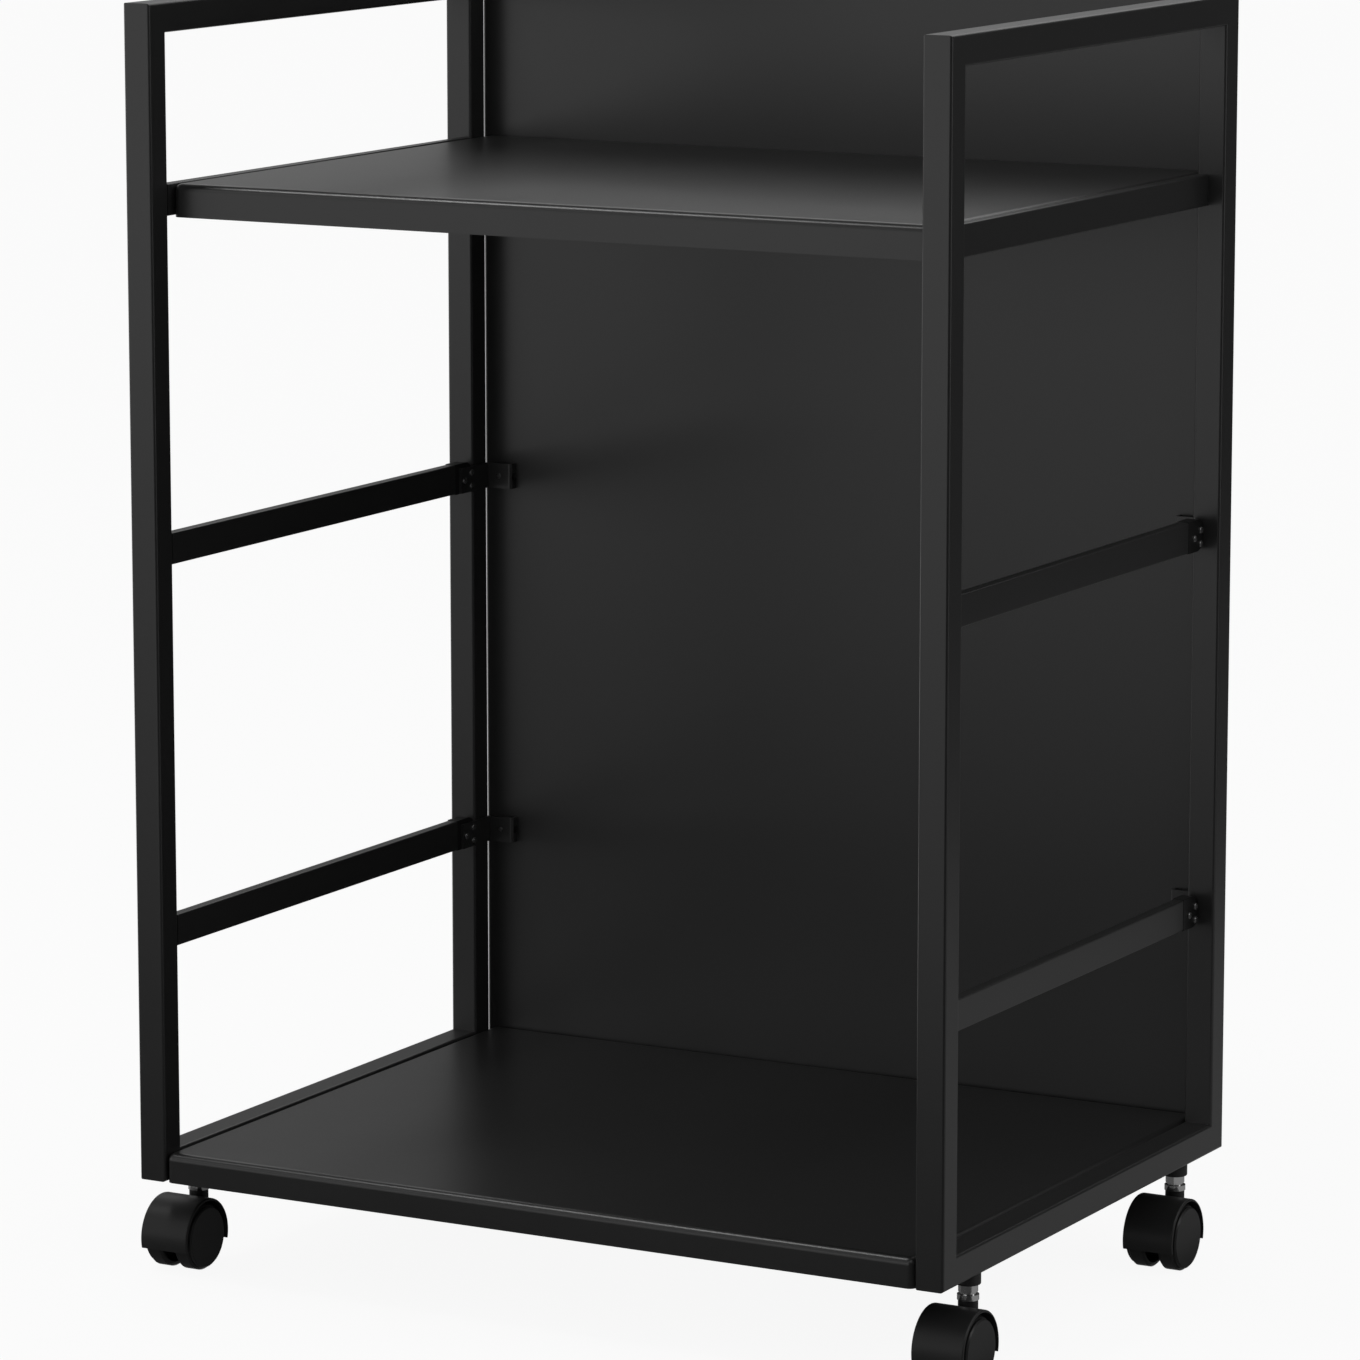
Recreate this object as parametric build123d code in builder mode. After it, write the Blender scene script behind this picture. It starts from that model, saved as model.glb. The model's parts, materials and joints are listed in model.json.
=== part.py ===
"""Storage trolley: two welded side frames, two folded shelves, a back panel and four twin-wheel casters.

Sizes are in millimetres. +X points right as seen from the front, +Y to the back and +Z up.
The origin lies on the floor, under the middle of the whole trolley.
"""
import os

from build123d import *

# Side frames, of square tube mitred at the corners
frame_width = 600.0
frame_depth = 428.0
frame_height = 785.0
tube = 20.0
tube_wall = 1.5
tube_corner = 2.0

# Flat side rails, flush with the inner faces of the posts
rail_thickness = 8.0
rail_height = 21.0
rail_wall = 1.2
rail_corner = 1.0
upper_rail_level = 436.0
lower_rail_level = 179.0

# Folded shelves, open below
shelf_sheet = 1.2
shelf_bend = 5.0
shelf_gap = 0.8
upper_shelf_level = 666.5
upper_shelf_lip = 22.0
upper_shelf_setback = 24.0

# Back panel, with its edges folded to the back
panel_sheet = 1.2
panel_bend = 3.0
panel_return = 5.0
panel_gap = 5.0
panel_overlap = 4.9

# End fittings, plugged into the rear ends of the side rails
end_length = 24.0
end_proud = 0.3
end_round = 9.2
end_edge = 0.2
end_tongue = 18.0
end_gap = 0.5
tongue_clearance = 0.1

# Formed brackets between the end fittings and the back panel
bracket_sheet = 2.0
bracket_height = 18.0
bracket_drop = 3.0
bracket_inset = 5.0
bracket_leg = 21.0
bracket_stand_off = 5.0
bracket_bend = 2.5
bracket_notch = 5.0

# Rivets that hold the brackets on the end fittings
rivet_shank = 3.2
rivet_head = 5.0
rivet_head_height = 1.4
rivet_dome = 1.1
rivet_inset = 4.0
rivet_pitch = 9.5
rivet_spread = 9.4

# Pan-head screws
screw_shank = 4.0
screw_head = 8.0
screw_head_height = 2.4
screw_dome = 1.0
screw_tip = 3.0
screw_inset = 100.0
fastener_clearance = 0.1

# Twin-wheel casters
wheel_diameter = 45.0
wheel_width = 13.5
wheel_cap = 2.5
wheel_shoulder = 1.7
wheel_bevel = 1.0
wheel_edge = 1.2
wheel_face = 4.0
wheel_rim = 3.0
wheel_hub = 12.0
axle_diameter = 6.0
axle_end_gap = 0.5
hood_clearance = 2.3
hood_wall = 1.6
hood_width = 36.6
hood_drop = 6.0
hood_edge = 1.2
web_width = 9.4
web_boss = 16.0
web_clearance = 0.5
neck_diameter = 13.0
neck_rise = 0.8
trail_share = 0.4
caster_inset = 56.0
swivel_gap = 0.3
pin_diameter = 6.0
pin_length = 22.0
pin_end_gap = 0.5
shoulder_height = 10.0
shoulder_diameter = 12.8
shoulder_foot = 14.2
shoulder_foot_height = 3.6
groove_height = 1.8
groove_depth = 1.0
stem_diameter = 8.0
stem_length = 15.0
collar_height = 8.0
collar_diameter = 16.5
collar_edge = 1.0
plug_diameter = 12.0
plug_end_gap = 0.5
running_clearance = 0.05

# Heights above the floor, worked out from the caster upwards
axle_height = wheel_diameter / 2
caster_trail = trail_share * wheel_diameter
well_radius = wheel_diameter / 2 + hood_clearance
hood_radius = well_radius + hood_wall
neck_top = axle_height + hood_radius + neck_rise
shoulder_low = neck_top + swivel_gap
collar_low = shoulder_low + shoulder_height
frame_low = collar_low + collar_height
frame_top = frame_low + frame_height
upper_shelf_top = frame_low + upper_shelf_level
lower_shelf_top = frame_low + tube

# Places across and along the trolley
inner = frame_width / 2 - tube
overall_depth = frame_depth + panel_gap + panel_return
front = -overall_depth / 2
back = front + frame_depth
panel_front = back + panel_gap
shelf_half = inner - shelf_gap
rail_front = front + tube
rail_back = back - tube
end_front = rail_back - end_length
plate_front = end_front + bracket_inset
end_thickness = rail_thickness + end_proud
hole_radius = screw_shank / 2 + fastener_clearance
rivet_hole_radius = rivet_shank / 2 + fastener_clearance

SIDES = {"left": -1, "right": 1}
SIDE_RAILS = {"upper": frame_low + upper_rail_level, "lower": frame_low + lower_rail_level}
SHELF_TOPS = {"upper": upper_shelf_top, "lower": lower_shelf_top}
SHELF_LIPS = {"upper": upper_shelf_lip, "lower": tube}
SHELF_FRONTS = {"upper": front + upper_shelf_setback, "lower": front}

os.makedirs("parts", exist_ok=True)


def save(piece, name):
    """Names a finished piece and writes it as one STEP file."""
    piece.part.label = name
    export_step(piece.part, f"parts/{name}.step")


def shelf_screw_rows(shelf):
    """Returns the two places along the depth where a shelf is screwed to its side rails."""
    return (SHELF_FRONTS[shelf] + screw_inset, rail_back - screw_inset)


def shelf_screw_height(shelf):
    """Returns the height of the screws in a shelf's side flanges and rear flange."""
    return SHELF_TOPS[shelf] - SHELF_LIPS[shelf] / 2


def panel_screw_columns():
    """Returns the places across the width where the panel is screwed to the shelves."""
    return (-(shelf_half - screw_inset), 0.0, shelf_half - screw_inset)


def bracket_screw_across(side):
    """Returns the place across the width of the screw in a bracket's leg."""
    return side * (inner - bracket_leg / 2)


def bracket_middle(rail_top):
    """Returns the middle height of the bracket behind a side rail."""
    return rail_top - bracket_drop - bracket_height / 2


def rivet_places(rail_top):
    """Returns depth and height of the three rivets through an end fitting and its bracket."""
    middle = bracket_middle(rail_top)
    first = plate_front + rivet_inset
    return (
        (first, middle),
        (first + rivet_pitch, middle + rivet_spread / 2),
        (first + rivet_pitch, middle - rivet_spread / 2),
    )


def caster_rows():
    """Returns the depth of the caster stems, front and rear."""
    return {"front": front + caster_inset, "rear": back - caster_inset}


# Mitre planes at the four corners of a side frame; the posts lie on their upper sides
corner_planes = {
    "front_low": Plane(origin=(0, front, frame_low), x_dir=(1, 0, 0), z_dir=(0, -1, 1)),
    "front_top": Plane(origin=(0, front, frame_top), x_dir=(1, 0, 0), z_dir=(0, -1, -1)),
    "rear_low": Plane(origin=(0, back, frame_low), x_dir=(1, 0, 0), z_dir=(0, 1, 1)),
    "rear_top": Plane(origin=(0, back, frame_top), x_dir=(1, 0, 0), z_dir=(0, 1, -1)),
}


def make_post(name, x, y, end):
    """Makes one upright tube of a side frame, mitred at both ends."""
    with BuildPart() as post:
        with BuildSketch(Plane(origin=(x, y, frame_low))):
            RectangleRounded(tube, tube, tube_corner)
            Rectangle(tube - 2 * tube_wall, tube - 2 * tube_wall, mode=Mode.SUBTRACT)
        extrude(amount=frame_height)
        split(bisect_by=corner_planes[f"{end}_low"], keep=Keep.TOP)
        split(bisect_by=corner_planes[f"{end}_top"], keep=Keep.TOP)
    save(post, name)


def make_top_rail(name, x):
    """Makes the top tube of a side frame, which serves as a handle."""
    with BuildPart() as rail:
        section = Plane(origin=(x, front, frame_top - tube / 2), x_dir=(1, 0, 0), z_dir=(0, 1, 0))
        with BuildSketch(section):
            RectangleRounded(tube, tube, tube_corner)
            Rectangle(tube - 2 * tube_wall, tube - 2 * tube_wall, mode=Mode.SUBTRACT)
        extrude(amount=frame_depth)
        split(bisect_by=corner_planes["front_top"], keep=Keep.BOTTOM)
        split(bisect_by=corner_planes["rear_top"], keep=Keep.BOTTOM)
    save(rail, name)


def make_bottom_rail(name, x, side):
    """Makes the bottom tube of a side frame, bored for two caster plugs and the shelf screws."""
    with BuildPart() as rail:
        section = Plane(origin=(x, front, frame_low + tube / 2), x_dir=(1, 0, 0), z_dir=(0, 1, 0))
        with BuildSketch(section):
            RectangleRounded(tube, tube, tube_corner)
            Rectangle(tube - 2 * tube_wall, tube - 2 * tube_wall, mode=Mode.SUBTRACT)
        extrude(amount=frame_depth)
        split(bisect_by=corner_planes["front_low"], keep=Keep.BOTTOM)
        split(bisect_by=corner_planes["rear_low"], keep=Keep.BOTTOM)
        with Locations(*[(x, y, frame_low + tube_wall / 2) for y in caster_rows().values()]):
            Cylinder(plug_diameter / 2 + running_clearance, 2 * tube_wall, mode=Mode.SUBTRACT)
        wall_middle = side * (inner + tube_wall / 2)
        with Locations(*[(wall_middle, y, shelf_screw_height("lower")) for y in shelf_screw_rows("lower")]):
            Cylinder(hole_radius, 2 * tube_wall, rotation=(0, 90, 0), mode=Mode.SUBTRACT)
    save(rail, name)


def rail_section(side, rail_top):
    """Returns the plane of a flat rail's section, at its front end."""
    middle = side * (inner + rail_thickness / 2)
    return Plane(origin=(middle, rail_front, rail_top - rail_height / 2), x_dir=(1, 0, 0), z_dir=(0, 1, 0))


def make_shelf_rail(name, side):
    """Makes the flat rail that carries one side of the upper shelf."""
    with BuildPart() as rail:
        with BuildSketch(rail_section(side, upper_shelf_top)):
            RectangleRounded(rail_thickness, rail_height, rail_corner)
            Rectangle(rail_thickness - 2 * rail_wall, rail_height - 2 * rail_wall, mode=Mode.SUBTRACT)
        extrude(amount=rail_back - rail_front)
        wall_middle = side * (inner + rail_wall / 2)
        with Locations(*[(wall_middle, y, shelf_screw_height("upper")) for y in shelf_screw_rows("upper")]):
            Cylinder(hole_radius, 2 * rail_wall, rotation=(0, 90, 0), mode=Mode.SUBTRACT)
    save(rail, name)


def make_side_rail(name, side, rail_top):
    """Makes one of the flat rails below the upper shelf, open at the rear for its end fitting."""
    with BuildPart() as rail:
        with BuildSketch(rail_section(side, rail_top)):
            RectangleRounded(rail_thickness, rail_height, rail_corner)
            Rectangle(rail_thickness - 2 * rail_wall, rail_height - 2 * rail_wall, mode=Mode.SUBTRACT)
        extrude(amount=end_front - rail_front)
    save(rail, name)


def make_rail_end(name, side, rail_top):
    """Makes a side rail's end fitting: a block with a rounded rear end and a tongue in the rail."""
    height_middle = rail_top - rail_height / 2
    end_back = rail_back - end_gap
    tongue_thickness = rail_thickness - 2 * (rail_wall + tongue_clearance)
    tongue_height = rail_height - 2 * (rail_wall + tongue_clearance)
    with BuildPart() as fitting:
        with Locations((side * (inner + end_thickness / 2), (end_front + end_back) / 2, height_middle)):
            Box(end_thickness, end_back - end_front, rail_height + 2 * end_proud)
        fillet(fitting.faces().sort_by(Axis.Y)[-1].edges().filter_by(Axis.X), radius=end_round)
        fillet(fitting.faces().sort_by(Axis.X)[-1 if side > 0 else 0].edges(), radius=end_edge)
        with Locations((side * (inner + rail_thickness / 2), end_front - end_tongue / 2, height_middle)):
            Box(tongue_thickness, end_tongue, tongue_height)
        with Locations(*[(side * inner, y, z) for y, z in rivet_places(rail_top)]):
            Cylinder(rivet_hole_radius, 3 * end_thickness, rotation=(0, 90, 0), mode=Mode.SUBTRACT)
    save(fitting, name)


def make_bracket(name, side, rail_top):
    """Makes a formed bracket: a plate on the fitting and post, a leg along the panel and a notched lip."""
    low = rail_top - bracket_drop - bracket_height
    plate_outer = side * inner
    plate_inner = side * (inner - bracket_sheet)
    lip_outer = side * (inner - bracket_leg + bracket_sheet)
    lip_inner = side * (inner - bracket_leg)
    leg_back = panel_front - bracket_stand_off
    leg_front = leg_back - bracket_sheet
    with BuildPart() as bracket:
        with BuildSketch(Plane.XY.offset(low)):
            with BuildLine():
                Polyline(
                    (plate_outer, plate_front),
                    (plate_outer, leg_back),
                    (lip_outer, leg_back),
                    (lip_outer, panel_front),
                    (lip_inner, panel_front),
                    (lip_inner, leg_front),
                    (plate_inner, leg_front),
                    (plate_inner, plate_front),
                    close=True,
                )
            make_face()
        extrude(amount=bracket_height)
        uprights = bracket.edges().filter_by(Axis.Z)
        outer_bends = [
            edge
            for edge in uprights
            for x, y in ((plate_outer, leg_back), (lip_inner, leg_front))
            if abs(edge.center().X - x) < bracket_sheet / 4 and abs(edge.center().Y - y) < bracket_sheet / 4
        ]
        fillet(outer_bends, radius=bracket_bend)
        with Locations(((lip_outer + lip_inner) / 2, panel_front, low + bracket_height / 2)):
            Box(2 * bracket_sheet, 2 * bracket_stand_off, bracket_notch, mode=Mode.SUBTRACT)
        with Locations(*[(side * (inner - bracket_sheet / 2), y, z) for y, z in rivet_places(rail_top)]):
            Cylinder(rivet_hole_radius, 2 * bracket_sheet, rotation=(0, 90, 0), mode=Mode.SUBTRACT)
        with Locations((bracket_screw_across(side), leg_back, bracket_middle(rail_top))):
            Cylinder(hole_radius, 3 * bracket_sheet, rotation=(90, 0, 0), mode=Mode.SUBTRACT)
    save(bracket, name)


def make_shelf(name, shelf):
    """Makes a shelf folded from one sheet: a flat top, a flange on every side and nothing below."""
    top = SHELF_TOPS[shelf]
    lip = SHELF_LIPS[shelf]
    depth = panel_front - SHELF_FRONTS[shelf]
    with BuildPart() as tray:
        with BuildSketch(Plane(origin=(0, panel_front - depth / 2, top - lip))):
            Rectangle(2 * shelf_half, depth)
        extrude(amount=lip)
        fillet(tray.edges().filter_by(Axis.Z), radius=shelf_bend)
        fillet(tray.faces().sort_by(Axis.Z)[-1].edges(), radius=shelf_bend)
        offset(amount=-shelf_sheet, openings=tray.faces().sort_by(Axis.Z)[0])
        flange = shelf_half - shelf_sheet / 2
        height = shelf_screw_height(shelf)
        with Locations(*[(side * flange, y, height) for side in (-1, 1) for y in shelf_screw_rows(shelf)]):
            Cylinder(hole_radius, 3 * shelf_sheet, rotation=(0, 90, 0), mode=Mode.SUBTRACT)
        with Locations(*[(x, panel_front - shelf_sheet / 2, height) for x in panel_screw_columns()]):
            Cylinder(hole_radius, 3 * shelf_sheet, rotation=(90, 0, 0), mode=Mode.SUBTRACT)
    save(tray, name)


def panel_screw_places():
    """Returns place across and height of every screw through the back panel."""
    on_shelves = [(x, shelf_screw_height(shelf)) for shelf in SHELF_TOPS for x in panel_screw_columns()]
    on_brackets = [
        (bracket_screw_across(side), bracket_middle(rail_top))
        for side in SIDES.values()
        for rail_top in SIDE_RAILS.values()
    ]
    return on_shelves, on_brackets


def make_back_panel():
    """Makes the back panel: a flat sheet with its four edges folded to the back."""
    on_shelves, on_brackets = panel_screw_places()
    with BuildPart() as panel:
        face = Plane(origin=(0, panel_front, frame_low + frame_height / 2), x_dir=(1, 0, 0), z_dir=(0, 1, 0))
        with BuildSketch(face):
            Rectangle(2 * (inner + panel_overlap), frame_height)
        extrude(amount=panel_return)
        fillet(panel.faces().sort_by(Axis.Y)[0].edges(), radius=panel_bend)
        offset(amount=-panel_sheet, openings=panel.faces().sort_by(Axis.Y)[-1])
        with Locations(*[(x, panel_front + panel_sheet / 2, z) for x, z in on_shelves + on_brackets]):
            Cylinder(hole_radius, 3 * panel_sheet, rotation=(90, 0, 0), mode=Mode.SUBTRACT)
    save(panel, "back_panel")


def make_screw(length):
    """Returns a pan-head screw along +Z, its head above the origin and its shank below."""
    with BuildPart() as screw:
        with BuildSketch():
            Circle(screw_head / 2)
        extrude(amount=screw_head_height)
        fillet(screw.edges().group_by(Axis.Z)[-1], radius=screw_dome)
        with BuildSketch():
            Circle(screw_shank / 2)
        extrude(amount=-length)
    return screw.part


def make_shelf_screws():
    """Makes the screws through the shelves' side flanges, with their heads under the shelves."""
    head_seat = shelf_half - shelf_sheet
    rails = {"upper": rail_wall, "lower": tube_wall}
    for shelf, wall in rails.items():
        screw = make_screw(shelf_sheet + shelf_gap + wall + screw_tip)
        height = shelf_screw_height(shelf)
        with BuildPart() as screws:
            for side in (-1, 1):
                for y in shelf_screw_rows(shelf):
                    with Locations(Location((side * head_seat, y, height), (0, -90 * side, 0))):
                        add(screw)
        save(screws, f"{shelf}_shelf_screws")


def make_panel_screws():
    """Makes the screws that hold the back panel, with their heads behind it."""
    on_shelves, on_brackets = panel_screw_places()
    head_seat = panel_front + panel_sheet
    shelf_screw = make_screw(panel_sheet + shelf_sheet + screw_tip)
    bracket_screw = make_screw(panel_sheet + bracket_stand_off + bracket_sheet)
    with BuildPart() as screws:
        with Locations(*[Location((x, head_seat, z), (-90, 0, 0)) for x, z in on_shelves]):
            add(shelf_screw)
        with Locations(*[Location((x, head_seat, z), (-90, 0, 0)) for x, z in on_brackets]):
            add(bracket_screw)
    save(screws, "panel_screws")


def make_rivets():
    """Makes the rivets through the end fittings and brackets, with a head on each side."""
    grip = end_thickness + bracket_sheet
    with BuildPart() as rivet:
        with BuildSketch():
            Circle(rivet_shank / 2)
        extrude(amount=grip)
        with BuildSketch(Plane.XY.offset(grip)):
            Circle(rivet_head / 2)
        extrude(amount=rivet_head_height)
        with BuildSketch():
            Circle(rivet_head / 2)
        extrude(amount=-rivet_head_height)
        rims = rivet.edges().filter_by(GeomType.CIRCLE).group_by(Axis.Z)
        fillet(rims[0] + rims[-1], radius=rivet_dome)
    with BuildPart() as rivets:
        for side in (-1, 1):
            for rail_top in SIDE_RAILS.values():
                for y, z in rivet_places(rail_top):
                    with Locations(Location((side * (inner - bracket_sheet), y, z), (0, 90 * side, 0))):
                        add(rivet.part)
    save(rivets, "bracket_rivets")


def make_collar(name, x, y):
    """Makes a caster's collar, whose plug fits the bottom rail and whose bore takes the stem."""
    with BuildPart() as collar:
        with BuildSketch(Plane(origin=(x, y, collar_low))):
            Circle(collar_diameter / 2)
        extrude(amount=collar_height)
        fillet(collar.edges().group_by(Axis.Z)[0], radius=collar_edge)
        with BuildSketch(Plane(origin=(x, y, frame_low))):
            Circle(plug_diameter / 2)
        extrude(amount=tube - tube_wall - plug_end_gap)
        with BuildSketch(Plane(origin=(x, y, collar_low))):
            Circle(stem_diameter / 2 + running_clearance)
        extrude(amount=stem_length + pin_end_gap, mode=Mode.SUBTRACT)
    save(collar, name)


def make_stem(name, x, y):
    """Makes a caster's turned stem: a shank in the collar, a grooved shoulder and a swivel pin."""
    groove_low = shoulder_low + shoulder_foot_height
    groove_top = groove_low + groove_height
    shank_top = collar_low + stem_length
    pin_low = shoulder_low - pin_length
    with BuildPart() as stem:
        with BuildSketch(Plane(origin=(x, y, 0), x_dir=(1, 0, 0), z_dir=(0, -1, 0))):
            with BuildLine():
                Polyline(
                    (0, pin_low),
                    (pin_diameter / 2, pin_low),
                    (pin_diameter / 2, shoulder_low),
                    (shoulder_foot / 2, shoulder_low),
                    (shoulder_foot / 2, groove_low),
                    (shoulder_diameter / 2 - groove_depth, groove_low),
                    (shoulder_diameter / 2 - groove_depth, groove_top),
                    (shoulder_diameter / 2, groove_top),
                    (shoulder_diameter / 2, collar_low),
                    (stem_diameter / 2, collar_low),
                    (stem_diameter / 2, shank_top),
                    (0, shank_top),
                    close=True,
                )
            make_face()
        revolve(axis=Axis((x, y, 0), (0, 0, 1)))
    save(stem, name)


def make_hood(name, x, y):
    """Makes a caster's hood: a drum over both wheels, a web between them and a neck for the stem's pin."""
    axle_depth = y - caster_trail
    across = Plane(origin=(x, axle_depth, axle_height), x_dir=(0, 1, 0), z_dir=(1, 0, 0))
    with BuildPart() as hood:
        with BuildSketch(across):
            Circle(hood_radius)
        extrude(amount=hood_width / 2, both=True)
        fillet(hood.edges().filter_by(GeomType.CIRCLE), radius=hood_edge)
        with BuildSketch(Plane(origin=(x, y, axle_height))):
            Circle(neck_diameter / 2)
        extrude(amount=neck_top - axle_height)
        for side in (-1, 1):
            with BuildSketch(across.offset(side * web_width / 2)):
                Circle(well_radius)
            extrude(amount=side * hood_width, mode=Mode.SUBTRACT)
        split(bisect_by=Plane.XY.offset(axle_height - hood_drop), keep=Keep.TOP)
        with BuildSketch(across):
            Circle(web_boss / 2)
        extrude(amount=web_width / 2, both=True)
        with BuildSketch(across):
            Circle(axle_diameter / 2 + running_clearance)
        extrude(amount=web_width, both=True, mode=Mode.SUBTRACT)
        with BuildSketch(Plane(origin=(x, y, neck_top))):
            Circle(pin_diameter / 2 + running_clearance)
        extrude(amount=-(pin_length - swivel_gap + pin_end_gap), mode=Mode.SUBTRACT)
    save(hood, name)


def make_axle(name, x, y):
    """Makes the axle that passes through the hood's web and carries both wheels."""
    half = web_width / 2 + web_clearance + wheel_width - wheel_face - axle_end_gap
    with BuildPart() as axle:
        with BuildSketch(Plane(origin=(x, y - caster_trail, axle_height), x_dir=(0, 1, 0), z_dir=(1, 0, 0))):
            Circle(axle_diameter / 2)
        extrude(amount=half, both=True)
    save(axle, name)


def make_wheel(name, x, y, side):
    """Makes one wheel: a raised bevelled cap outside, a hub on the axle and a hollow inside."""
    near = web_width / 2 + web_clearance
    far = near + wheel_width
    radius = wheel_diameter / 2
    bore = axle_diameter / 2 + running_clearance
    rim = radius - wheel_rim
    cap = radius - wheel_shoulder
    step = far - wheel_cap
    web = far - wheel_face
    axle_depth = y - caster_trail
    with BuildPart() as wheel:
        section = Plane(origin=(x, axle_depth, axle_height), x_dir=(side, 0, 0), z_dir=(0, -side, 0))
        with BuildSketch(section):
            with BuildLine():
                Polyline(
                    (near, bore),
                    (web, bore),
                    (web, 0),
                    (far, 0),
                    (far, cap - wheel_bevel),
                    (far - wheel_bevel, cap),
                    (step, cap),
                    (step, radius - wheel_edge),
                    (step - wheel_edge, radius),
                    (near + wheel_edge, radius),
                    (near, radius - wheel_edge),
                    (near, rim),
                    (web, rim),
                    (web, wheel_hub / 2),
                    (near, wheel_hub / 2),
                    close=True,
                )
            make_face()
        revolve(axis=Axis((x, axle_depth, axle_height), (1, 0, 0)))
    save(wheel, name)


for side_name, side in SIDES.items():
    tube_middle = side * (frame_width / 2 - tube / 2)
    make_post(f"{side_name}_front_post", tube_middle, front + tube / 2, "front")
    make_post(f"{side_name}_rear_post", tube_middle, back - tube / 2, "rear")
    make_top_rail(f"{side_name}_top_rail", tube_middle)
    make_bottom_rail(f"{side_name}_bottom_rail", tube_middle, side)
    make_shelf_rail(f"{side_name}_shelf_rail", side)
    for level_name, rail_top in SIDE_RAILS.items():
        make_side_rail(f"{side_name}_{level_name}_rail", side, rail_top)
        make_rail_end(f"{side_name}_{level_name}_rail_end", side, rail_top)
        make_bracket(f"{side_name}_{level_name}_bracket", side, rail_top)
    for row_name, row in caster_rows().items():
        caster = f"{row_name}_{side_name}_caster"
        make_collar(f"{caster}_collar", tube_middle, row)
        make_stem(f"{caster}_stem", tube_middle, row)
        make_hood(f"{caster}_hood", tube_middle, row)
        make_axle(f"{caster}_axle", tube_middle, row)
        for wheel_name, wheel_side in SIDES.items():
            make_wheel(f"{caster}_{wheel_name}_wheel", tube_middle, row, wheel_side)

for shelf_name in SHELF_TOPS:
    make_shelf(f"{shelf_name}_shelf", shelf_name)
make_back_panel()
make_shelf_screws()
make_panel_screws()
make_rivets()
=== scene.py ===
"""Storage trolley: finishes, fastener detail, studio and camera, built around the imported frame.

Lengths are in metres, in the frame of the CAD model: +X right, +Y to the back, +Z up. The screws alone
are given in millimetres, as in the CAD model.
"""

import json
import logging
import math
from dataclasses import dataclass, field
from enum import Enum
from typing import Any, Union

import bmesh
import bpy
from mathutils import Matrix, Vector


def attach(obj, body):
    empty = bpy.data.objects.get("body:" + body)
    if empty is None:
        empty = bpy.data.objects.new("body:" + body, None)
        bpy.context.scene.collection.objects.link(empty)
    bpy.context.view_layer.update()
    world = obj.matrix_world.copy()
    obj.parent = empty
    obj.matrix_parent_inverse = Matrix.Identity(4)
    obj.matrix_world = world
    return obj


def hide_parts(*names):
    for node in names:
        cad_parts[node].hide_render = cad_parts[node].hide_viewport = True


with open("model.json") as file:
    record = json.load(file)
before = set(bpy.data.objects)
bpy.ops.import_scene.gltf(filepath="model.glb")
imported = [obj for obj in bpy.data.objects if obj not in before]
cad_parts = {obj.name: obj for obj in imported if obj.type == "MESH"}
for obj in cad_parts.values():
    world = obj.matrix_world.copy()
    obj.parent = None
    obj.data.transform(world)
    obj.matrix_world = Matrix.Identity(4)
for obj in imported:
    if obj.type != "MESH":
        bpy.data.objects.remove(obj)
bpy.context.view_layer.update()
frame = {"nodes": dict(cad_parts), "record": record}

log = logging.getLogger("trolley")
MILLIMETRE = 0.001
UP = Vector((0.0, 0.0, 1.0))

# The Mix node's colour sockets by number, because they share their names with its sockets for numbers.
MIX_LOW_COLOUR = 6
MIX_HIGH_COLOUR = 7
MIX_RESULT_COLOUR = 2

Colour = tuple[float, float, float, float]


def grey(level: float) -> Colour:
    """Returns an opaque grey, from 0 for black to 1 for white."""
    return (level, level, level, 1.0)


BLACK = grey(0.0)
WHITE = grey(1.0)


def pointing(direction: Vector) -> Matrix:
    """Returns the turn that points +Z in a direction."""
    return direction.to_track_quat("Z", "Y").to_matrix().to_4x4()


class Slot(Enum):
    """The record's material slots."""

    POWDER_COAT = "black_powder_coat"
    SCREW = "dark_screws"
    RIVET = "dark_rivets"
    ZINC = "bright_zinc"
    AXLE = "axle_steel"
    HOOD = "hood_plastic"
    FITTING = "fitting_plastic"
    WHEEL = "wheel_plastic"


class Signal:
    """An output socket with operators, so that shader maths reads as Python expressions."""

    def __init__(self, sheet: "NodeSheet", socket: bpy.types.NodeSocket | None) -> None:
        """Keeps the sheet that new nodes go to and the wrapped socket."""
        self.sheet = sheet
        self.socket = socket

    def _math(self, operation: str, first: "Operand", second: "Operand") -> "Signal":
        """Adds one Math node on two operands."""
        return self.sheet.node("ShaderNodeMath", {"operation": operation}, {0: first, 1: second})

    def __add__(self, other: "Operand") -> "Signal":
        """Returns this value plus another."""
        return self._math("ADD", self, other)

    def __sub__(self, other: "Operand") -> "Signal":
        """Returns this value minus another."""
        return self._math("SUBTRACT", self, other)

    def __rsub__(self, other: "Operand") -> "Signal":
        """Returns another value minus this one."""
        return self._math("SUBTRACT", other, self)

    def __mul__(self, other: "Operand") -> "Signal":
        """Returns this value times another."""
        return self._math("MULTIPLY", self, other)

    __radd__ = __add__
    __rmul__ = __mul__

    def at_least(self, other: "Operand") -> "Signal":
        """Returns the larger of this value and another."""
        return self._math("MAXIMUM", self, other)


Operand = Union[Signal, float]


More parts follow.
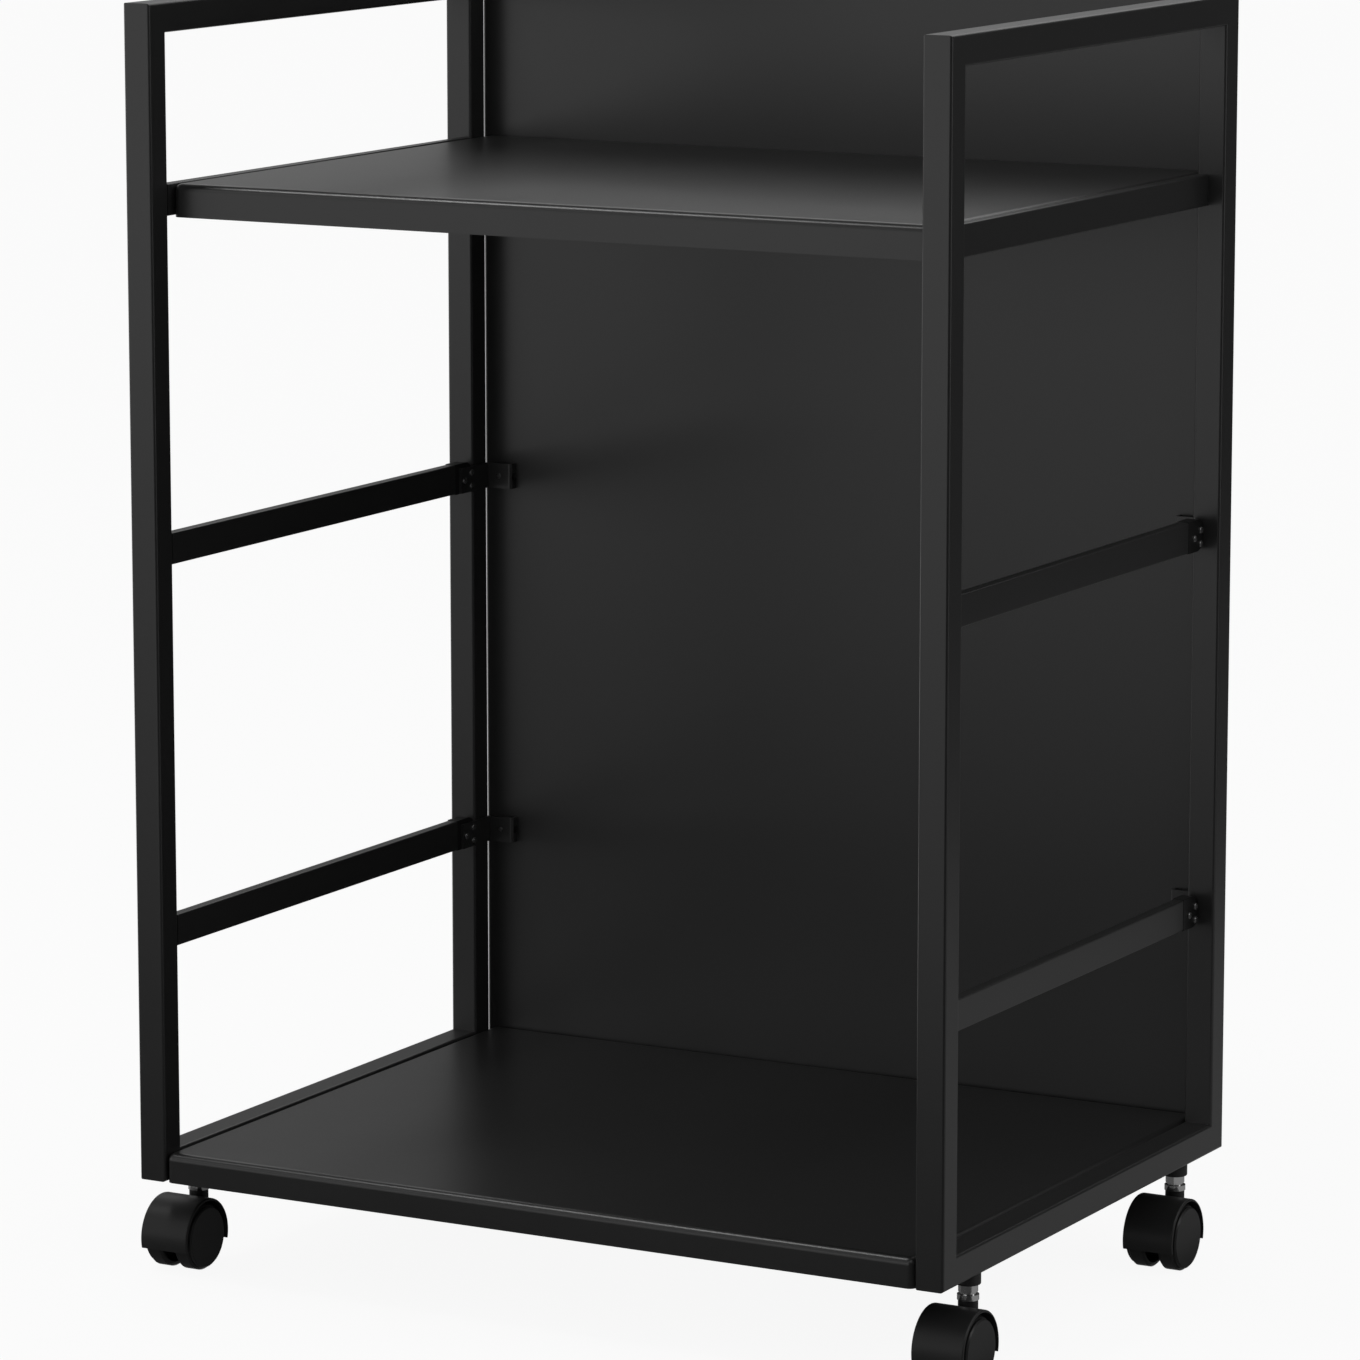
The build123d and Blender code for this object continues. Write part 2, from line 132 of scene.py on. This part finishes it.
class NodeSheet:
    """A node tree that is being drawn up."""

    def __init__(self, tree: bpy.types.NodeTree) -> None:
        """Starts from an empty tree."""
        self.tree = tree
        self.tree.nodes.clear()

    def node(self, kind: str, settings: dict[str, Any] | None = None,
             inputs: dict[str | int, Any] | None = None, output: str | int = 0) -> Signal:
        """Adds a node.

        Args:
            kind: the node's type.
            settings: properties that are set before the sockets.
            inputs: values or signals, by socket name or number.
            output: the socket to return.

        Returns:
            The chosen output socket, which is empty for a node without outputs.
        """
        made = self.tree.nodes.new(kind)
        for name, value in (settings or {}).items():
            setattr(made, name, value)
        for name, value in (inputs or {}).items():
            if isinstance(value, Signal):
                self.tree.links.new(value.socket, made.inputs[name])
            else:
                made.inputs[name].default_value = value
        return Signal(self, made.outputs[output] if len(made.outputs) else None)

    def place(self, scale: tuple[float, float, float] = (1.0, 1.0, 1.0)) -> Signal:
        """Returns Object coordinates, stretched by a scale on each axis."""
        coordinates = self.node("ShaderNodeTexCoord", output="Object")
        return self.node("ShaderNodeMapping", inputs={"Vector": coordinates, "Scale": scale})

    def noise(self, where: Signal, scale: float, detail: float = 2.0) -> Signal:
        """Returns a noise value between 0 and 1 at a scale per metre."""
        return self.node("ShaderNodeTexNoise", inputs={"Vector": where, "Scale": scale, "Detail": detail})

    def bump(self, height: Signal, distance: float) -> Signal:
        """Returns a normal raised by a height, which is a share of a distance in metres."""
        return self.node("ShaderNodeBump", inputs={"Height": height, "Distance": distance})

    def blend(self, factor: Signal, low: Colour, high: Colour) -> Signal:
        """Returns a colour between two colours."""
        inputs = {"Factor": factor, MIX_LOW_COLOUR: low, MIX_HIGH_COLOUR: high}
        return self.node("ShaderNodeMix", {"data_type": "RGBA"}, inputs, output=MIX_RESULT_COLOUR)


def blank_material(name: str) -> tuple[bpy.types.Material, NodeSheet]:
    """Returns a new material and its empty node sheet."""
    made = bpy.data.materials.new(name)
    made.use_nodes = True
    return made, NodeSheet(made.node_tree)


@dataclass(frozen=True)
class Finish:
    """A surface finish: a tone and a roughness that swing with a slow cloud and a fine grain."""

    name: str
    tone: float
    tone_swing: float
    roughness: float
    roughness_swing: float
    metallic: float = 0.0
    specular: float = 0.5
    cloud_scale: float = 9.0
    cloud_detail: float = 3.0
    cloud_share: float = 0.6
    grain_scale: float = 700.0
    grain_height: float = 0.012 * MILLIMETRE

    def cloud(self, sheet: NodeSheet) -> Signal:
        """Returns the slow cloud, between 0 and 1."""
        return sheet.noise(sheet.place(), self.cloud_scale, self.cloud_detail)

    def grain(self, sheet: NodeSheet) -> Signal:
        """Returns the fine grain, between 0 and 1."""
        return sheet.noise(sheet.place(), self.grain_scale)

    def material(self) -> bpy.types.Material:
        """Builds the material.

        Returns:
            A node material with colour, roughness and relief from the finish's cloud and grain.
        """
        made, sheet = blank_material(self.name)
        cloud = self.cloud(sheet)
        grain = self.grain(sheet)
        lightness = self.cloud_share * cloud + (1.0 - self.cloud_share) * grain
        # Cloud and grain are a half each on average, so their sum swings about 1.
        swing = cloud + grain - 1.0
        shader = sheet.node(
            "ShaderNodeBsdfPrincipled",
            inputs={
                "Base Color": sheet.blend(
                    lightness, grey(self.tone - self.tone_swing), grey(self.tone + self.tone_swing)
                ),
                "Roughness": self.roughness + self.roughness_swing * swing,
                "Metallic": self.metallic,
                "Specular IOR Level": self.specular,
                "Normal": sheet.bump(grain, self.grain_height),
            },
        )
        sheet.node("ShaderNodeOutputMaterial", inputs={"Surface": shader})
        return made


@dataclass(frozen=True)
class TurnedFinish(Finish):
    """A finish with fine rings around the vertical axis, as left by a lathe."""

    ring_scale: float = 2600.0

    def grain(self, sheet: NodeSheet) -> Signal:
        """Returns rings that change only with height, between 0 and 1."""
        return sheet.noise(sheet.place((0.0, 0.0, 1.0)), self.ring_scale)


FASTENER_GRAIN = 1800.0
MOULDED_GRAIN = 1500.0
FINISHES = {
    Slot.POWDER_COAT: Finish(
        "satin black powder coat",
        tone=0.011, tone_swing=0.002, roughness=0.32, roughness_swing=0.05, specular=0.6,
    ),
    Slot.SCREW: Finish(
        "black oxide screw",
        tone=0.02, tone_swing=0.006, roughness=0.30, roughness_swing=0.06, grain_scale=FASTENER_GRAIN,
    ),
    Slot.RIVET: Finish(
        "dark rivet",
        tone=0.12, tone_swing=0.03, roughness=0.18, roughness_swing=0.05,
        metallic=0.8, grain_scale=FASTENER_GRAIN,
    ),
    Slot.ZINC: TurnedFinish(
        "bright zinc plate",
        tone=0.72, tone_swing=0.05, roughness=0.14, roughness_swing=0.06, metallic=1.0,
    ),
    Slot.AXLE: Finish(
        "drawn steel bar",
        tone=0.45, tone_swing=0.06, roughness=0.30, roughness_swing=0.08, metallic=1.0,
    ),
    Slot.HOOD: Finish(
        "semi-gloss moulded hood",
        tone=0.011, tone_swing=0.002, roughness=0.45, roughness_swing=0.05,
        specular=0.35, grain_scale=MOULDED_GRAIN,
    ),
    Slot.FITTING: Finish(
        "satin moulded fitting",
        tone=0.006, tone_swing=0.002, roughness=0.36, roughness_swing=0.06,
        specular=0.3, grain_scale=MOULDED_GRAIN,
    ),
    Slot.WHEEL: Finish(
        "satin moulded wheel",
        tone=0.012, tone_swing=0.002, roughness=0.38, roughness_swing=0.06,
        specular=0.25, grain_scale=MOULDED_GRAIN,
    ),
}


class FrameDress:
    """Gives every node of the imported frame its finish."""

    def __init__(self, record: dict[str, Any]) -> None:
        """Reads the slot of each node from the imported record."""
        self.slots = {part["node"]: Slot(part["material_slot"]) for part in record["subparts"]}
        self.materials = {slot: finish.material() for slot, finish in FINISHES.items()}

    def dress(self, nodes: dict[str, bpy.types.Object]) -> None:
        """Puts a material on each CAD node.

        Args:
            nodes: the frame's objects by node name.
        """
        for name, node in nodes.items():
            node.data.materials.clear()
            node.data.materials.append(self.materials[self.slots[name]])
            log.info("%s: %s", name, self.slots[name].value)


@dataclass(frozen=True)
class ScrewPlace:
    """A head's seat, the direction in which the head stands up and the shank's length, in millimetres."""

    seat: Vector
    up: Vector
    shank: float


@dataclass
class PanScrews:
    """Pan-head screws with a cross recess, in millimetres, which stand in for one node's plain screws."""

    node: str
    places: list[ScrewPlace]
    head_radius: float = 4.0
    head_height: float = 2.4
    dome: float = 1.0
    dome_steps: int = 5
    shank_radius: float = 2.0
    recess_reach: float = 2.2
    recess_half: float = 0.45
    recess_depth: float = 1.3
    recess_taper: float = 0.6
    tip_edge: float = 0.5
    tip_steps: int = 2
    sides: int = 40
    height_slack: float = 1e-4
    weld_distance: float = 1e-5
    sharp_angle: float = math.radians(35.0)

    def _on_top(self, height: float) -> bool:
        """Tells whether a height is that of the head's flat top."""
        return height > self.head_height - self.height_slack

    def _cut_recess(self, shape: bmesh.types.BMesh) -> None:
        """Sinks a tapered cross into the flat top of the head.

        Args:
            shape: the screw, with its head above the origin.
        """
        for axis in (Vector((1.0, 0.0, 0.0)), Vector((0.0, 1.0, 0.0))):
            for offset in (-self.recess_reach, -self.recess_half, self.recess_half, self.recess_reach):
                top = [face for face in shape.faces if self._on_top(face.calc_center_median().z)]
                edges = dict.fromkeys(edge for face in top for edge in face.edges)
                verts = dict.fromkeys(vert for face in top for vert in face.verts)
                bmesh.ops.bisect_plane(
                    shape, geom=[*top, *edges, *verts],
                    plane_co=axis * offset, plane_no=axis, dist=self.weld_distance,
                )
        cross = []
        for face in shape.faces:
            middle = face.calc_center_median()
            near, far = sorted((abs(middle.x), abs(middle.y)))
            if self._on_top(middle.z) and near < self.recess_half and far < self.recess_reach:
                cross.append(face)
        sunk = bmesh.ops.extrude_face_region(shape, geom=cross)["geom"]
        bmesh.ops.delete(shape, geom=cross, context="FACES")
        floor = [item for item in sunk if isinstance(item, bmesh.types.BMVert)]
        bmesh.ops.translate(shape, vec=(0.0, 0.0, -self.recess_depth), verts=floor)
        bmesh.ops.scale(shape, vec=(self.recess_taper, self.recess_taper, 1.0), verts=floor)

    def _one_screw(self, length: float) -> bmesh.types.BMesh:
        """Models one screw along +Z.

        Args:
            length: the shank's length.

        Returns:
            A closed mesh with its head above the origin and its shank below.
        """
        shape = bmesh.new()
        bmesh.ops.create_cone(
            shape, cap_ends=True, segments=self.sides, radius1=self.head_radius, radius2=self.head_radius,
            depth=self.head_height, matrix=Matrix.Translation((0.0, 0.0, self.head_height / 2)),
        )
        seat = min(shape.faces, key=lambda face: face.calc_center_median().z)
        bmesh.ops.inset_individual(shape, faces=[seat], thickness=self.head_radius - self.shank_radius)
        shank = bmesh.ops.extrude_face_region(shape, geom=[seat])["geom"]
        bmesh.ops.delete(shape, geom=[seat], context="FACES")
        tip = [item for item in shank if isinstance(item, bmesh.types.BMVert)]
        bmesh.ops.translate(shape, vec=(0.0, 0.0, -length), verts=tip)
        tip_rim = [item for item in shank if isinstance(item, bmesh.types.BMEdge)]
        bmesh.ops.bevel(
            shape, geom=tip_rim, offset=self.tip_edge, segments=self.tip_steps,
            profile=0.5, affect="EDGES", material=-1,
        )
        head_rim = [edge for edge in shape.edges if all(self._on_top(vert.co.z) for vert in edge.verts)]
        bmesh.ops.bevel(
            shape, geom=head_rim, offset=self.dome, segments=self.dome_steps,
            profile=0.5, affect="EDGES", material=-1,
        )
        self._cut_recess(shape)
        bmesh.ops.recalc_face_normals(shape, faces=shape.faces)
        return shape

    def build(self, material: bpy.types.Material) -> None:
        """Builds all the screws as one piece and puts it in place of the node.

        Args:
            material: the finish of the screws.
        """
        every = bmesh.new()
        for place in self.places:
            screw = self._one_screw(place.shank)
            placing = Matrix.Scale(MILLIMETRE, 4) @ Matrix.Translation(place.seat) @ pointing(place.up)
            bmesh.ops.transform(screw, matrix=placing, verts=screw.verts)
            carrier = bpy.data.meshes.new("screw carrier")
            screw.to_mesh(carrier)
            screw.free()
            every.from_mesh(carrier)
            bpy.data.meshes.remove(carrier)
        mesh = bpy.data.meshes.new(f"{self.node}_detail")
        every.to_mesh(mesh)
        every.free()
        mesh.materials.append(material)
        mesh.shade_smooth()
        mesh.set_sharp_from_angle(angle=self.sharp_angle)
        piece = bpy.data.objects.new(f"{self.node}_detail", mesh)
        bpy.context.scene.collection.objects.link(piece)
        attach(piece, "frame")
        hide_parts(self.node)
        log.info("%s: %d screws", piece.name, len(self.places))


@dataclass(frozen=True)
class Fasteners:
    """The places and lengths of the CAD model's screws, in millimetres."""

    panel_seat: float = 215.2
    flange_seat: float = 278.0
    upper_height: float = 723.5
    lower_height: float = 78.0
    upper_rows: tuple[float, ...] = (-95.0, 89.0)
    lower_rows: tuple[float, ...] = (-119.0, 89.0)
    panel_columns: tuple[float, ...] = (-179.2, 0.0, 179.2)
    bracket_columns: tuple[float, ...] = (-269.5, 269.5)
    bracket_heights: tuple[float, ...] = (492.0, 235.0)
    panel_shank: float = 5.4
    bracket_shank: float = 8.2
    upper_shank: float = 6.2
    lower_shank: float = 6.5

    def on_panel(self, columns: tuple[float, ...], heights: tuple[float, ...],
                 shank: float) -> list[ScrewPlace]:
        """Returns the places of screws on the back of the panel.

        Args:
            columns: their places from left to right.
            heights: the heights of the screws in each column.
            shank: their length.

        Returns:
            The places, column by column.
        """
        to_back = Vector((0.0, 1.0, 0.0))
        seats = [Vector((x, self.panel_seat, z)) for x in columns for z in heights]
        return [ScrewPlace(seat, to_back, shank) for seat in seats]

    def on_flanges(self, height: float, rows: tuple[float, ...], shank: float) -> list[ScrewPlace]:
        """Returns the places of screws on the inside of a shelf's left and right flanges.

        Args:
            height: the height of the screws.
            rows: their places from front to back.
            shank: their length.

        Returns:
            The places on the left and then those on the right.
        """
        places = []
        for side in (-1.0, 1.0):
            inward = Vector((-side, 0.0, 0.0))
            seats = [Vector((side * self.flange_seat, y, height)) for y in rows]
            places += [ScrewPlace(seat, inward, shank) for seat in seats]
        return places

    def groups(self) -> list[PanScrews]:
        """Returns the screws of the back panel and of both shelves, a group for each CAD node."""
        panel = self.on_panel(self.panel_columns, (self.upper_height, self.lower_height), self.panel_shank)
        panel += self.on_panel(self.bracket_columns, self.bracket_heights, self.bracket_shank)
        upper = self.on_flanges(self.upper_height, self.upper_rows, self.upper_shank)
        lower = self.on_flanges(self.lower_height, self.lower_rows, self.lower_shank)
        return [
            PanScrews("panel_screws", panel),
            PanScrews("upper_shelf_screws", upper),
            PanScrews("lower_shelf_screws", lower),
        ]


@dataclass
class Lamp:
    """A square softbox that points at a place."""

    name: str
    place: Vector
    aim: Vector
    side: float
    power: float

    def build(self) -> None:
        """Adds the lamp to the scene."""
        data = bpy.data.lights.new(self.name, "AREA")
        data.shape = "SQUARE"
        data.size = self.side
        data.energy = self.power
        lamp = bpy.data.objects.new(self.name, data)
        lamp.location = self.place
        lamp.rotation_euler = (self.aim - self.place).to_track_quat("-Z", "Y").to_euler()
        bpy.context.scene.collection.objects.link(lamp)


def add_sheet(name: str, placing: Matrix, material: bpy.types.Material) -> bpy.types.Object:
    """Adds a flat sheet to the scene.

    Args:
        name: the sheet's name.
        placing: what sizes, turns and places a square of one metre.
        material: what the sheet is made of.

    Returns:
        The sheet, with its place in its mesh.
    """
    half_side = 0.5
    shape = bmesh.new()
    bmesh.ops.create_grid(shape, x_segments=1, y_segments=1, size=half_side)
    bmesh.ops.transform(shape, matrix=placing, verts=shape.verts)
    mesh = bpy.data.meshes.new(name)
    shape.to_mesh(mesh)
    shape.free()
    mesh.materials.append(material)
    sheet = bpy.data.objects.new(name, mesh)
    bpy.context.scene.collection.objects.link(sheet)
    return sheet


@dataclass
class Card:
    """A flat studio card of one grey that only reflections see."""

    name: str
    middle: Vector
    facing: Vector
    width: float
    height: float
    level: float

    def glow(self, sheet: NodeSheet) -> Colour | Signal:
        """Returns the grey that the card gives off."""
        return grey(self.level)

    def build(self) -> None:
        """Adds the card to the stage."""
        material, sheet = blank_material(self.name)
        light = sheet.node("ShaderNodeEmission", inputs={"Color": self.glow(sheet)})
        sheet.node("ShaderNodeOutputMaterial", inputs={"Surface": light})
        size = Matrix.Diagonal((self.width, self.height, 1.0, 1.0))
        placing = Matrix.Translation(self.middle) @ pointing(self.facing) @ size
        card = add_sheet(self.name, placing, material)
        card.visible_camera = False
        card.visible_diffuse = False
        card.visible_transmission = False
        card.visible_shadow = False


@dataclass
class FadedCard(Card):
    """An upright card whose grey changes between two heights."""

    top_level: float
    fade_from: float
    fade_to: float

    def glow(self, sheet: NodeSheet) -> Colour | Signal:
        """Returns the grey at each height, from the level below the fade to the top level above it."""
        height = sheet.node("ShaderNodeSeparateXYZ", inputs={0: sheet.place()}, output="Z")
        level = sheet.node(
            "ShaderNodeMapRange",
            inputs={
                "Value": height,
                "From Min": self.fade_from,
                "From Max": self.fade_to,
                "To Min": self.level,
                "To Max": self.top_level,
            },
        )
        return sheet.blend(level, BLACK, WHITE)


def ground(name: str, x: float, y: float, layer: int, width: float, depth: float, level: float) -> Card:
    """Returns a card that lies flat, as many millimetres above the floor as its layer's number."""
    return Card(name, Vector((x, y, layer * MILLIMETRE)), UP, width, depth, level)


@dataclass
class Studio:
    """A white room: floor, world, softboxes and cards."""

    floor_side: float = 24.0
    floor_tone: float = 0.8
    floor_white: float = 0.92
    ambient: float = 0.75
    lamps: list[Lamp] = field(default_factory=list)
    cards: list[Card] = field(default_factory=list)

    def white_rays(self, sheet: NodeSheet) -> Signal:
        """Returns 1 for rays that should meet plain white: camera, glossy and transmission rays."""
        kinds = [
            sheet.node("ShaderNodeLightPath", output=name)
            for name in ("Is Camera Ray", "Is Glossy Ray", "Is Transmission Ray")
        ]
        return kinds[0].at_least(kinds[1]).at_least(kinds[2])

    def build_world(self) -> None:
        """Makes the world: white to look at, and a plain ambient light."""
        world = bpy.data.worlds.new("white room")
        world.use_nodes = True
        sheet = NodeSheet(world.node_tree)
        light = sheet.node("ShaderNodeBackground", inputs={"Strength": self.ambient})
        white = sheet.node("ShaderNodeBackground", inputs={"Color": WHITE})
        both = sheet.node("ShaderNodeMixShader", inputs={0: self.white_rays(sheet), 1: light, 2: white})
        sheet.node("ShaderNodeOutputWorld", inputs={"Surface": both})
        bpy.context.scene.world = world

    def build_floor(self) -> None:
        """Lays a pale floor under the wheels, which looks almost white and keeps the shadow."""
        material, sheet = blank_material("pale floor")
        paint = sheet.node("ShaderNodeBsdfDiffuse", inputs={"Color": grey(self.floor_tone)})
        white = sheet.node("ShaderNodeEmission", inputs={"Color": WHITE})
        share = self.white_rays(sheet) * self.floor_white
        both = sheet.node("ShaderNodeMixShader", inputs={0: share, 1: paint, 2: white})
        sheet.node("ShaderNodeOutputMaterial", inputs={"Surface": both})
        floor = add_sheet("floor", Matrix.Scale(self.floor_side, 4), material)

    def build(self) -> None:
        """Builds the whole studio."""
        self.build_world()
        self.build_floor()
        for item in self.lamps + self.cards:
            item.build()
        bpy.context.scene.view_settings.view_transform = "Standard"
        log.info("studio: %d lamps, %d cards", len(self.lamps), len(self.cards))


@dataclass
class PhotoCamera:
    """The camera at the photograph's viewing angle, for a square picture."""

    place: Vector
    yaw: float
    pitch: float
    lens: float
    sensor: float = 36.0

    def build(self) -> None:
        """Adds the camera and makes it the scene's own."""
        data = bpy.data.cameras.new("photo camera")
        data.lens = self.lens
        data.sensor_fit = "HORIZONTAL"
        data.sensor_width = self.sensor
        camera = bpy.data.objects.new("photo camera", data)
        camera.location = self.place
        camera.rotation_euler = (math.pi / 2 - self.pitch, 0.0, self.yaw)
        bpy.context.scene.collection.objects.link(camera)
        bpy.context.scene.camera = camera


def make_lamps() -> list[Lamp]:
    """Returns the softboxes, which all point at the middle of the trolley."""
    middle = Vector((0.0, 0.0, 0.45))
    return [
        Lamp("overhead softbox", Vector((-1.3, -0.9, 2.8)), aim=middle, side=0.5, power=13.0),
        Lamp("right softbox", Vector((2.9, -0.05, 2.25)), aim=middle, side=0.5, power=10.0),
        Lamp("front softbox", Vector((-2.0, -2.4, 2.0)), aim=middle, side=1.0, power=3.0),
    ]


def make_cards() -> list[Card]:
    """Returns the cards that the shelves, the panel and the tubes mirror."""
    return [
        ground("ground sheet", x=0.0, y=0.0, layer=1, width=8.0, depth=8.0, level=0.25),
        ground("light ground at the front", x=-0.5, y=-2.7, layer=2, width=1.5, depth=2.2, level=0.45),
        # Painted shade in reflections: this dark patch of floor, which only reflections see, stands in for
        # the trolley's own shadow on the floor just in front of it.
        ground("dark ground at the front", x=-0.6, y=-0.65, layer=2, width=3.0, depth=0.8, level=0.05),
        ground("dark ground at the front left", x=-2.1, y=-2.6, layer=3, width=1.4, depth=2.2, level=0.05),
        ground("dark ground at the front right", x=1.95, y=-2.3, layer=4, width=2.9, depth=3.9, level=0.02),
        ground("light ground at the left", x=-2.3, y=0.8, layer=4, width=3.1, depth=2.4, level=1.0),
        Card(
            "card at the front right", Vector((2.0, -1.45, 0.8)), facing=Vector((-1.0, 1.0, 0.0)),
            width=4.1, height=1.6, level=0.02,
        ),
        # Painted shadow in reflections: this dark patch, which only reflections see, stands in for the
        # shadow on the floor beneath the trolley.
        ground("painted shadow under the trolley", x=0.0, y=0.0, layer=3, width=0.66, depth=0.5, level=0.1),
        Card("dark ceiling", Vector((-1.25, -1.25, 2.95)), facing=-UP, width=5.5, height=5.5, level=0.12),
        ground("dark ground at the right", x=1.4, y=1.8, layer=2, width=1.6, depth=1.2, level=0.08),
        FadedCard(
            "card behind the right side", Vector((1.6, 2.2, 1.2)), facing=Vector((-1.0, -1.0, 0.0)),
            width=3.4, height=2.4, level=0.02, top_level=0.06, fade_from=0.1, fade_to=0.6,
        ),
        FadedCard(
            "card behind the left side", Vector((-1.8, 2.8, 0.9)), facing=Vector((0.4, -1.0, 0.0)),
            width=6.0, height=1.8, level=0.12, top_level=0.28, fade_from=0.7, fade_to=1.6,
        ),
        FadedCard(
            "card at the front left", Vector((-2.4, -3.0, 1.25)), facing=Vector((0.7, 1.0, 0.0)),
            width=4.0, height=2.5, level=1.0, top_level=0.25, fade_from=0.95, fade_to=1.3,
        ),
    ]


def main() -> None:
    """Builds camera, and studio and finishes."""
    logging.basicConfig(level=logging.INFO)
    PhotoCamera(
        place=Vector((2.0251, -3.7011, 1.1396)),
        yaw=math.radians(28.78),
        pitch=math.radians(9.96),
        lens=169.74,
    ).build()
    Studio(lamps=make_lamps(), cards=make_cards()).build()
    frame_dress = FrameDress(frame["record"])
    frame_dress.dress(frame["nodes"])
    for screws in Fasteners().groups():
        screws.build(frame_dress.materials[Slot.SCREW])


if __name__ == "__main__":
    main()
